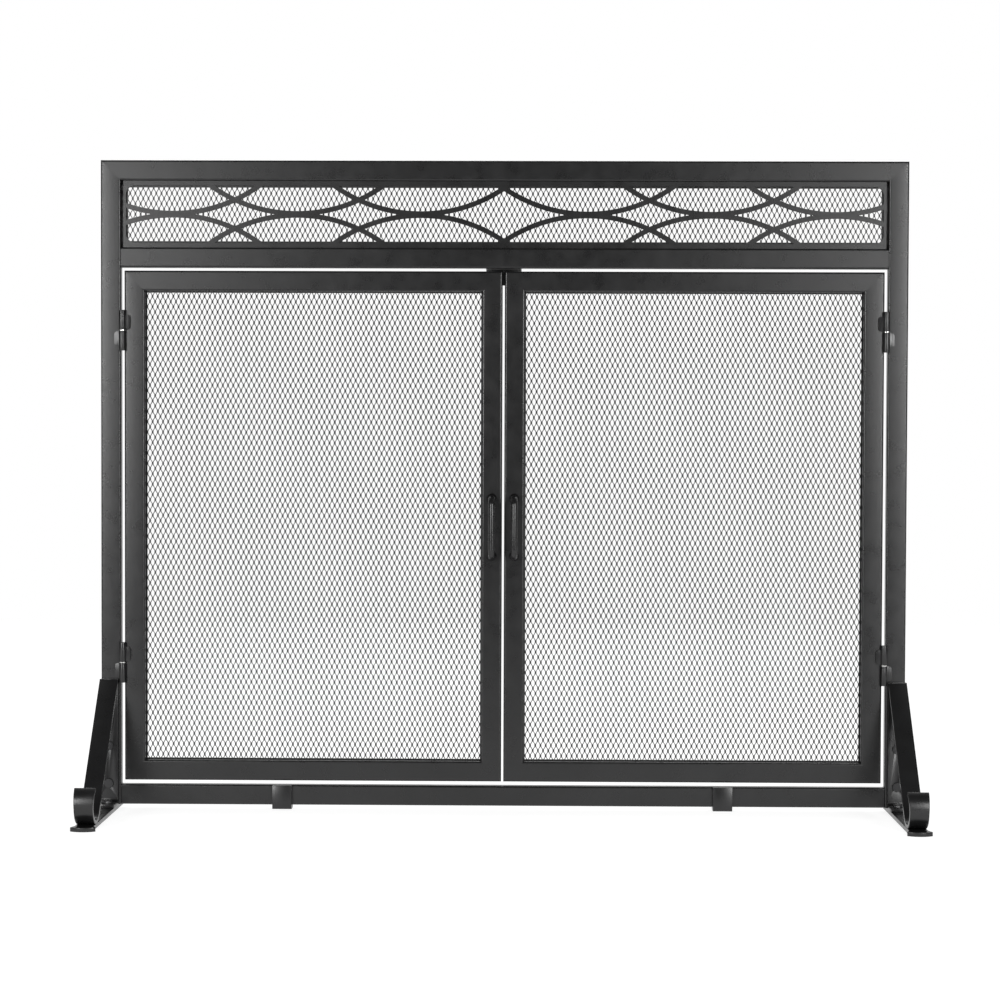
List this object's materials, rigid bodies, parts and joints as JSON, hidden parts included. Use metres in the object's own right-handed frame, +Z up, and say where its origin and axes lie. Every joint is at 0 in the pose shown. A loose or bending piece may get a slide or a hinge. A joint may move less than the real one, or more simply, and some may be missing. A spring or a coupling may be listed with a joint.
{
  "type": "fireplace screen",
  "caption": "Free-standing flat fireplace screen: mesh doors on lift-off hinges in a tube frame, under a cut arc panel, on braced scroll feet.",
  "frame": {"origin": "on the floor, at the middle of the footprint", "axes": "+X along the width, to the viewer's right when the screen is seen from its front; the front faces -Y; +Z up"},
  "size_m": [0.987, 0.3302, 0.788],
  "materials": {
    "frame_coat": "satin powder coat",
    "door_coat": "satin powder coat",
    "mesh_coat": "satin black coat on expanded steel",
    "foot_coat": "satin powder coat",
    "handle_coat": "satin powder coat",
    "hinge_coat": "satin powder coat",
    "bolt_coat": "black oxide",
    "pin_steel": "turned",
    "washer_metal": "bright turned",
    "magnet_plating": "nickel plated",
    "zinc_plating": "zinc plated"
  },
  "bodies": {
    "frame": {"left_post": "frame_coat", "right_post": "frame_coat", "top_rail": "frame_coat", "mid_rail": "frame_coat", "bottom_rail": "frame_coat", "arc_panel": "frame_coat", "arc_panel_mesh": "mesh_coat", "arc_panel_retainers": "frame_coat", "left_upper_hinge_frame_leaf": "hinge_coat", "left_upper_hinge_pin": "pin_steel", "left_upper_hinge_washer": "washer_metal", "left_lower_hinge_frame_leaf": "hinge_coat", "left_lower_hinge_pin": "pin_steel", "left_lower_hinge_washer": "washer_metal", "right_upper_hinge_frame_leaf": "hinge_coat", "right_upper_hinge_pin": "pin_steel", "right_upper_hinge_washer": "washer_metal", "right_lower_hinge_frame_leaf": "hinge_coat", "right_lower_hinge_pin": "pin_steel", "right_lower_hinge_washer": "washer_metal", "catch_bracket": "hinge_coat", "catch_magnets": "magnet_plating", "left_foot_base": "foot_coat", "left_foot_upright": "foot_coat", "left_foot_brace": "foot_coat", "left_foot_bolts": "bolt_coat", "left_foot_nuts": "zinc_plating", "right_foot_base": "foot_coat", "right_foot_upright": "foot_coat", "right_foot_brace": "foot_coat", "right_foot_bolts": "bolt_coat", "right_foot_nuts": "zinc_plating", "left_support_strap": "foot_coat", "right_support_strap": "foot_coat"},
    "left_door": {"left_door_hinge_stile": "door_coat", "left_door_meeting_stile": "door_coat", "left_door_top_rail": "door_coat", "left_door_bottom_rail": "door_coat", "left_door_mesh": "mesh_coat", "left_door_retainers": "door_coat", "left_handle": "handle_coat", "left_handle_screws": "zinc_plating", "left_upper_hinge_door_leaf": "hinge_coat", "left_lower_hinge_door_leaf": "hinge_coat"},
    "right_door": {"right_door_hinge_stile": "door_coat", "right_door_meeting_stile": "door_coat", "right_door_top_rail": "door_coat", "right_door_bottom_rail": "door_coat", "right_door_mesh": "mesh_coat", "right_door_retainers": "door_coat", "right_handle": "handle_coat", "right_handle_screws": "zinc_plating", "right_upper_hinge_door_leaf": "hinge_coat", "right_lower_hinge_door_leaf": "hinge_coat"}
  },
  "joints": [
    {"name": "left_door_hinge", "type": "hinge", "parent": "frame", "child": "left_door", "pos_m": [-0.46245, -0.0017, 0.38025], "axis": [0, 0, -1], "range_deg": [0, 90]},
    {"name": "right_door_hinge", "type": "hinge", "parent": "frame", "child": "right_door", "pos_m": [0.46245, -0.0017, 0.38025], "axis": [0, 0, 1], "range_deg": [0, 90]}
  ]
}
